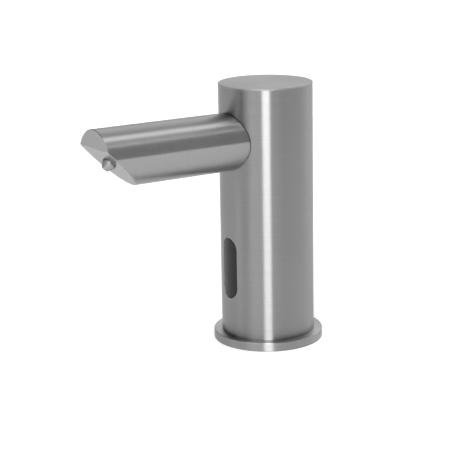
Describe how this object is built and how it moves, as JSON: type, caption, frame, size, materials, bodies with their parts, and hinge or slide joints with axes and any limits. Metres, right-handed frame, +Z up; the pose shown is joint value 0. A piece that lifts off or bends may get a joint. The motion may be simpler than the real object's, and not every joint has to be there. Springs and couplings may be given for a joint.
{
  "type": "soap dispenser",
  "caption": "Touch-free soap dispenser head: brushed steel tube with a flat lid on a round flange, round spout with a 45 degree end face, cone nozzle and dark sensor window.",
  "frame": {"origin": "centre of the foot's underside, on the worktop plane and on the body tube's axis", "axes": "+Z up along the body tube, -Y forward under the spout, +X to the viewer's right when the spout points at the viewer"},
  "size_m": [0.0588, 0.133, 0.1396],
  "materials": {
    "brushed_steel": "brushed",
    "turned_steel": "turned, satin",
    "spring_steel": "bright",
    "plated_brass": "satin",
    "black_rubber": "matte",
    "white_plastic": "matte",
    "black_plastic": "matte",
    "smoked_window": "smooth",
    "green_board": "satin",
    "clear_tube": "smooth",
    "lead_jacket": "satin",
    "emitter_resin": "smooth",
    "receiver_resin": "smooth"
  },
  "bodies": {
    "head": {"base_flange": "brushed_steel", "body_tube": "brushed_steel", "top_cap": "brushed_steel", "spout_body": "brushed_steel", "body_set_screw": "turned_steel", "spout_adapter": "turned_steel", "saddle_washer": "turned_steel", "nozzle": "turned_steel", "sensor_bracket": "turned_steel", "housing_screw_left": "turned_steel", "housing_screw_right": "turned_steel", "bracket_screw_left": "turned_steel", "bracket_screw_right": "turned_steel", "valve_spring": "spring_steel", "spout_nut": "plated_brass", "connector_nut": "plated_brass", "socket_nut": "plated_brass", "deck_seal": "black_rubber", "body_o_ring": "black_rubber", "cap_o_ring": "black_rubber", "saddle_gasket": "black_rubber", "nozzle_washer": "black_rubber", "inlet_o_ring": "black_rubber", "window_gasket": "black_rubber", "valve_body": "white_plastic", "valve_inlet": "white_plastic", "board_plug": "white_plastic", "inlet_connector": "black_plastic", "lead_socket": "black_plastic", "sensor_housing": "black_plastic", "housing_cover": "black_plastic", "sensor_window": "smoked_window", "sensor_board": "green_board", "soap_tube": "clear_tube", "sensor_lead": "lead_jacket", "ir_emitter": "emitter_resin", "ir_receiver": "receiver_resin"},
    "ball": {"valve_ball": "spring_steel"},
    "collet": {"inlet_collet": "white_plastic"}
  },
  "joints": [
    {"name": "valve_opening", "type": "slide", "parent": "head", "child": "ball", "axis": [0, -0.9999, 0.011], "range_m": [0, 0.0012], "stiffness_N_per_m": 60, "springref_m": -0.002, "deforming": ["valve_spring"]},
    {"name": "hose_release", "type": "slide", "parent": "head", "child": "collet", "axis": [0, 0, 1], "range_m": [0, 0.001]}
  ]
}
